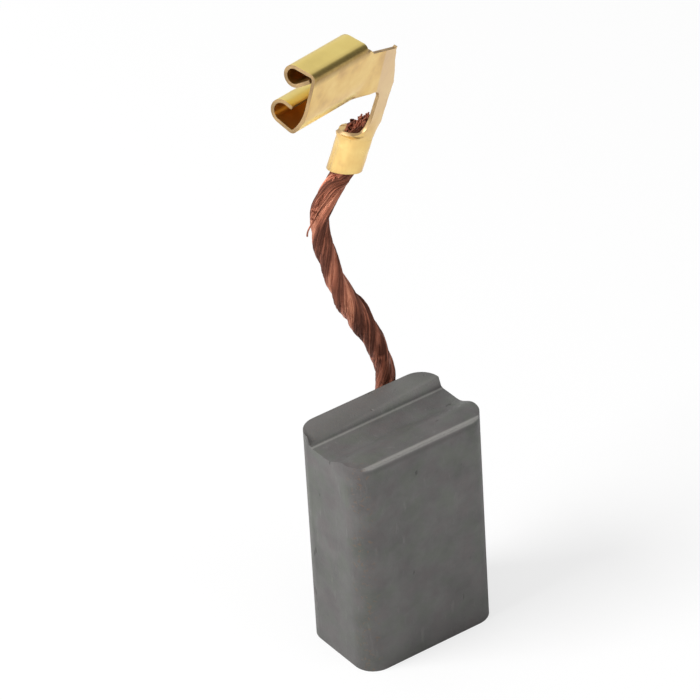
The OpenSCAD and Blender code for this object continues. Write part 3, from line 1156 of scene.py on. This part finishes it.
    def _panel(self, across: Sequence, up: Sequence, lay: Callable) -> bpy.types.Object:
        """Adds a grid and lays each of its points on the folded blank.

        Args:
            across: the columns' values.
            up: the rows' values.
            lay: takes a column's and a row's value and gives the place.

        Returns:
            The panel.
        """
        columns, rows = len(across) - 1, len(up) - 1
        bpy.ops.mesh.primitive_grid_add(x_subdivisions=columns, y_subdivisions=rows, size=2)
        panel = bpy.context.object
        for vert in panel.data.vertices:
            i = round((vert.co.x + 1) / 2 * columns)
            j = round((vert.co.y + 1) / 2 * rows)
            vert.co = lay(across[i], up[j])
        return panel

    def _top(self, x: float) -> float:
        """Gives the height of the plate's upper edge."""
        marks = (
            (self.front, self.flat_top),
            (self.front + self.neck, self.flat_top),
            (self.front + 2 * self.neck, self.flat_top - self.neck),
            (self.rear - self.neck, self.flat_top - self.shoulder),
        )
        return self.between(marks, x)

    @staticmethod
    def between(marks: Sequence[tuple[float, float]], x: float) -> float:
        """Reads a value off a line of marks."""
        for (x0, y0), (x1, y1) in zip(marks, marks[1:]):
            if x <= x1:
                return y0 + (y1 - y0) * max(0.0, x - x0) / (x1 - x0)
        return marks[-1][1]

    def _plate(self, x: float, share: float, bulge: float) -> Vector:
        """Lays the plate behind the rolls, which loses the base's curve as it goes."""
        curve, angle = self.base_bend
        lowest = self.between(
            (
                (self.front, self.flat_bottom - curve * math.sin(math.radians(angle))),
                (self.front + 1.3, self.foot),
                (self.inner.x - self.throat, self.foot - self.throat / 3),
                (self.inner.x - self.throat / 10, self.inner.y + self.throat / 2),
                (self.inner.x, self.inner.y),
            ),
            x,
        )
        fade = 1 - min(1.0, (x - self.front) / 1.7)
        fade = fade * fade * (3 - 2 * fade)
        return Vector((x, self.middle + bulge * fade, lowest + share * (self._top(x) - lowest)))

    def _shoulder(self, c: float, share: float) -> Vector:
        """Lays the plate above the strap."""
        left = Vector((self.inner.x, self.inner.y + share * (self._top(self.inner.x) - self.inner.y)))
        top = Vector((self.rear - self.neck, self.flat_top - self.shoulder))
        waist = Vector((self.rear, self.flat_top - 2.5 * self.shoulder))
        first = (waist - self.outer).length
        gone = share * (first + (top - waist).length)
        if gone < first:
            right = self.outer.lerp(waist, gone / first)
        else:
            right = waist.lerp(top, (gone - first) / (top - waist).length)
        spot = left.lerp(right, c)
        return Vector((spot.x, self.middle, spot.y))

    def _levels(self) -> list[float]:
        """Gives the strap's rows: shares above ON_STRAP on the strap, then heights in mm."""
        flat = [ON_STRAP + k / 6 for k in range(6, 0, -1)]
        reach = self.trough * self.trough_reach
        trough = [self.crimp + reach * (k / 16) ** 1.2 for k in range(16, 0, -1)]
        closed = [self.crimp * k / 18 for k in range(18, -1, -1)]
        return flat + trough + closed

    def _edges(self, level: float) -> tuple[float, float]:
        """Gives how far the sheet reaches to each side of the strap's middle at a height."""
        half = self.strap / 2
        if level <= self.crimp:
            return -self.left_ear, self.round - self.left_ear - 0.05
        q = (level - self.crimp) / self.trough
        near = ((0, 2.35), (0.1, 2.1), (0.22, 1.6), (0.36, 1.15), (0.6, 0.88), (1, half))
        far = ((0, 2.5), (0.15, 2.2), (0.4, 1.5), (0.7, 1.0), (1, half))
        return -self.between(near, q), self.between(far, q)

    def _wrapped(self, s: float, closed: float) -> Vector:
        """Wraps the sheet round the lead.

        Args:
            s: distance along the sheet from the strap's middle.
            closed: from 0, flat, to 1, closed round the lead.

        Returns:
            The place across the crimp, from the strap's middle.
        """
        quarter = self.wrap * math.pi / 2
        side = math.copysign(1, s)
        heading = 0.0
        spot = Vector((0, 0))
        step = abs(s) / 60
        for k in range(60):
            at = (k + 0.5) * step
            straight = quarter < at < quarter + self.oval
            if not straight:
                heading += step / self.wrap * closed / 2
            spot += step * Vector((math.cos(heading), math.sin(heading)))
            if not straight:
                heading += step / self.wrap * closed / 2
        return Vector((side * spot.x, spot.y))

    def _strap(self, c: float, level: float) -> Vector:
        """Lays the strap, the trough and the closed crimp."""
        half = self.strap / 2
        if level > ON_STRAP:
            opened = self.crimp + self.trough * self.trough_reach
            top = self.foot - self.throat_drop * (1 - c)
            height = opened + (level - ON_STRAP) * (top - opened)
            across, out = -half + self.strap * c, 0.0
        else:
            first, last = self._edges(level)
            s = first + (last - first) * c
            q = (level - self.crimp) / (self.trough * self.trough_open)
            closed = 1.0 if q <= 0 else max(0.0, 1 - q) ** 1.5
            spot = self._wrapped(s, closed)
            across, out = spot.x, spot.y
            height = level
            if level <= self.crimp:
                foot = self.slant * (1 - (out + self.middle) / self.depth)
                height = foot + (self.crimp - foot) * level / self.crimp
            # The ears' ends dip into the seam, and the left ear's upper corner stands off
            centre = Vector((0, self.depth / 2 - self.middle))
            away = Vector((across, out)) - centre
            away.normalize()
            if level <= self.crimp:
                seam = min(s - first, last - s)
                dip = max(0.0, 1 - seam / self.seam_width) ** 2 * self.seam_dip
                dent = 0.035 * noise.noise(Vector((across * 1.3, out * 1.3, height * 0.9)))
                across += away.x * (dent - dip)
                out += away.y * (dent - dip)
            tab = max(0.0, 1 - (s - first) / self.tab_width)
            tab *= max(0.0, 1 - abs(height - self.crimp) / self.tab_height)
            if s < 0 and tab > 0:
                tab = tab**0.8
                across += away.x * self.tab_lift * tab
                out += away.y * self.tab_lift * tab
                height += 0.2 * tab
        x, z = self._leant(across, height)
        return Vector((x, self.middle + out, z))

    def _burrs(self, terminal: bpy.types.Object) -> None:
        """Roughens the sheared rear edge of the plate and the strap."""
        with Bench.editing(terminal) as shell:
            for vert in shell.verts:
                if not vert.is_boundary or vert.co.z < self.crimp + 1.5 or vert.co.x < 0.9:
                    continue
                rough = noise.noise(Vector((vert.co.z * 2.6, 3.1, 0.7)))
                spike = max(0.0, 1 - abs(vert.co.z - self.flat_top + self.shoulder) / 0.25)
                vert.co.x += 0.09 * rough + 0.14 * spike
                vert.co.z += 0.12 * spike


# ---------------------------------------------------------------- stage, lamps and camera


@dataclass
class Studio:
    """The pale floor, the soft lamps, the world and the camera."""

    eye: tuple[float, float, float] = (-0.210969, -0.308311, 0.281822)
    right: tuple[float, float, float] = (0.8083, -0.5866, -0.0513)
    down: tuple[float, float, float] = (-0.3665, -0.4331, -0.8235)
    ahead: tuple[float, float, float] = (0.4608, 0.6844, -0.5650)
    lens: float = 307.25
    dark_side: tuple[float, float, float] = (0.86, -0.3, 0.42)

    def build(self) -> None:
        """Sets up everything that isn't part of the object."""
        self._floor()
        self._world()
        self._lamps()
        self._camera()
        bpy.context.scene.view_settings.view_transform = "Standard"

    def _floor(self) -> None:
        """Lays the pale floor, which shows white to the camera but keeps the shadow."""
        bpy.ops.object.select_all(action="DESELECT")
        bpy.ops.mesh.primitive_plane_add(size=4, location=(0, 0, 0))
        floor = bpy.context.object
        floor.name = "floor"
        sheet = Sheet("pale_floor")
        diffuse = sheet.node("ShaderNodeBsdfDiffuse", sockets={"Color": (0.92, 0.92, 0.92)})
        white = sheet.node("ShaderNodeEmission", sockets={"Color": (1.0, 1.0, 1.0), "Strength": 1.0})
        seen = sheet.node("ShaderNodeLightPath", output="Is Camera Ray")
        mixed = sheet.node("ShaderNodeMixShader", sockets={0: seen * 0.7, 1: diffuse, 2: white})
        sheet.node_output(mixed)
        floor.data.materials.append(sheet.material)

    def _world(self) -> None:
        """Makes the world: white where it is seen, a room with one dark side where it is mirrored."""
        world = bpy.data.worlds.new("studio")
        world.use_nodes = True
        bpy.context.scene.world = world
        tree = world.node_tree
        tree.nodes.clear()
        path = tree.nodes.new("ShaderNodeLightPath")
        aim = tree.nodes.new("ShaderNodeTexCoord")
        toward = tree.nodes.new("ShaderNodeVectorMath")
        toward.operation = "DOT_PRODUCT"
        toward.inputs[1].default_value = Vector(self.dark_side).normalized()
        tree.links.new(aim.outputs["Generated"], toward.inputs[0])
        room = tree.nodes.new("ShaderNodeMapRange")
        room.interpolation_type = "SMOOTHSTEP"
        for i, value in enumerate((0.6, 0.93, 1.0, 0.16), 1):
            room.inputs[i].default_value = value
        tree.links.new(toward.outputs["Value"], room.inputs[0])
        mirrored = tree.nodes.new("ShaderNodeMix")
        mirrored.inputs[2].default_value = 0.55
        tree.links.new(path.outputs["Is Glossy Ray"], mirrored.inputs[0])
        tree.links.new(room.outputs[0], mirrored.inputs[3])
        seen = tree.nodes.new("ShaderNodeMix")
        seen.inputs[3].default_value = 1.0
        tree.links.new(path.outputs["Is Camera Ray"], seen.inputs[0])
        tree.links.new(mirrored.outputs[0], seen.inputs[2])
        glow = tree.nodes.new("ShaderNodeBackground")
        tree.links.new(seen.outputs[0], glow.inputs["Strength"])
        out = tree.nodes.new("ShaderNodeOutputWorld")
        tree.links.new(glow.outputs[0], out.inputs["Surface"])

    def _lamps(self) -> None:
        """Hangs the softboxes."""
        for name, place, size, power in (
            ("key", (-0.42, 0.1, 0.42), 0.3, 3.6),
            ("fill", (0.25, -0.5, 0.25), 0.4, 0.5),
        ):
            lamp = bpy.data.lights.new(name, "AREA")
            lamp.size = size
            lamp.energy = power
            item = bpy.data.objects.new(name, lamp)
            item.location = place
            aim = Vector((0, 0, 0.025)) - Vector(place)
            item.rotation_euler = aim.to_track_quat("-Z", "Y").to_euler()
            bpy.context.scene.collection.objects.link(item)

    def _camera(self) -> None:
        """Sets up the camera."""
        camera = bpy.data.cameras.new("camera")
        camera.lens = self.lens
        camera.sensor_width = 36.0
        camera.clip_start = 0.01
        camera.clip_end = 10.0
        item = bpy.data.objects.new("camera", camera)
        columns = [Vector(self.right), -Vector(self.down), -Vector(self.ahead)]
        turn = Matrix(columns).transposed()
        item.matrix_world = Matrix.Translation(Vector(self.eye)) @ turn.to_4x4()
        bpy.context.scene.collection.objects.link(item)
        bpy.context.scene.camera = item


def main() -> None:
    """Loads the frame, builds and dresses every piece, and sets the stage."""
    logging.basicConfig(level=logging.INFO, format="%(name)s: %(message)s")
    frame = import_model()
    CarbonBlock().build()
    terminal = Terminal()
    terminal.build()
    Lead(terminal).build()
    powder = frame["nodes"]["tamping_fill"]
    powder.data.materials.clear()
    powder.data.materials.append(TampedPowder().material())
    Studio().build()


if __name__ == "__main__":
    main()
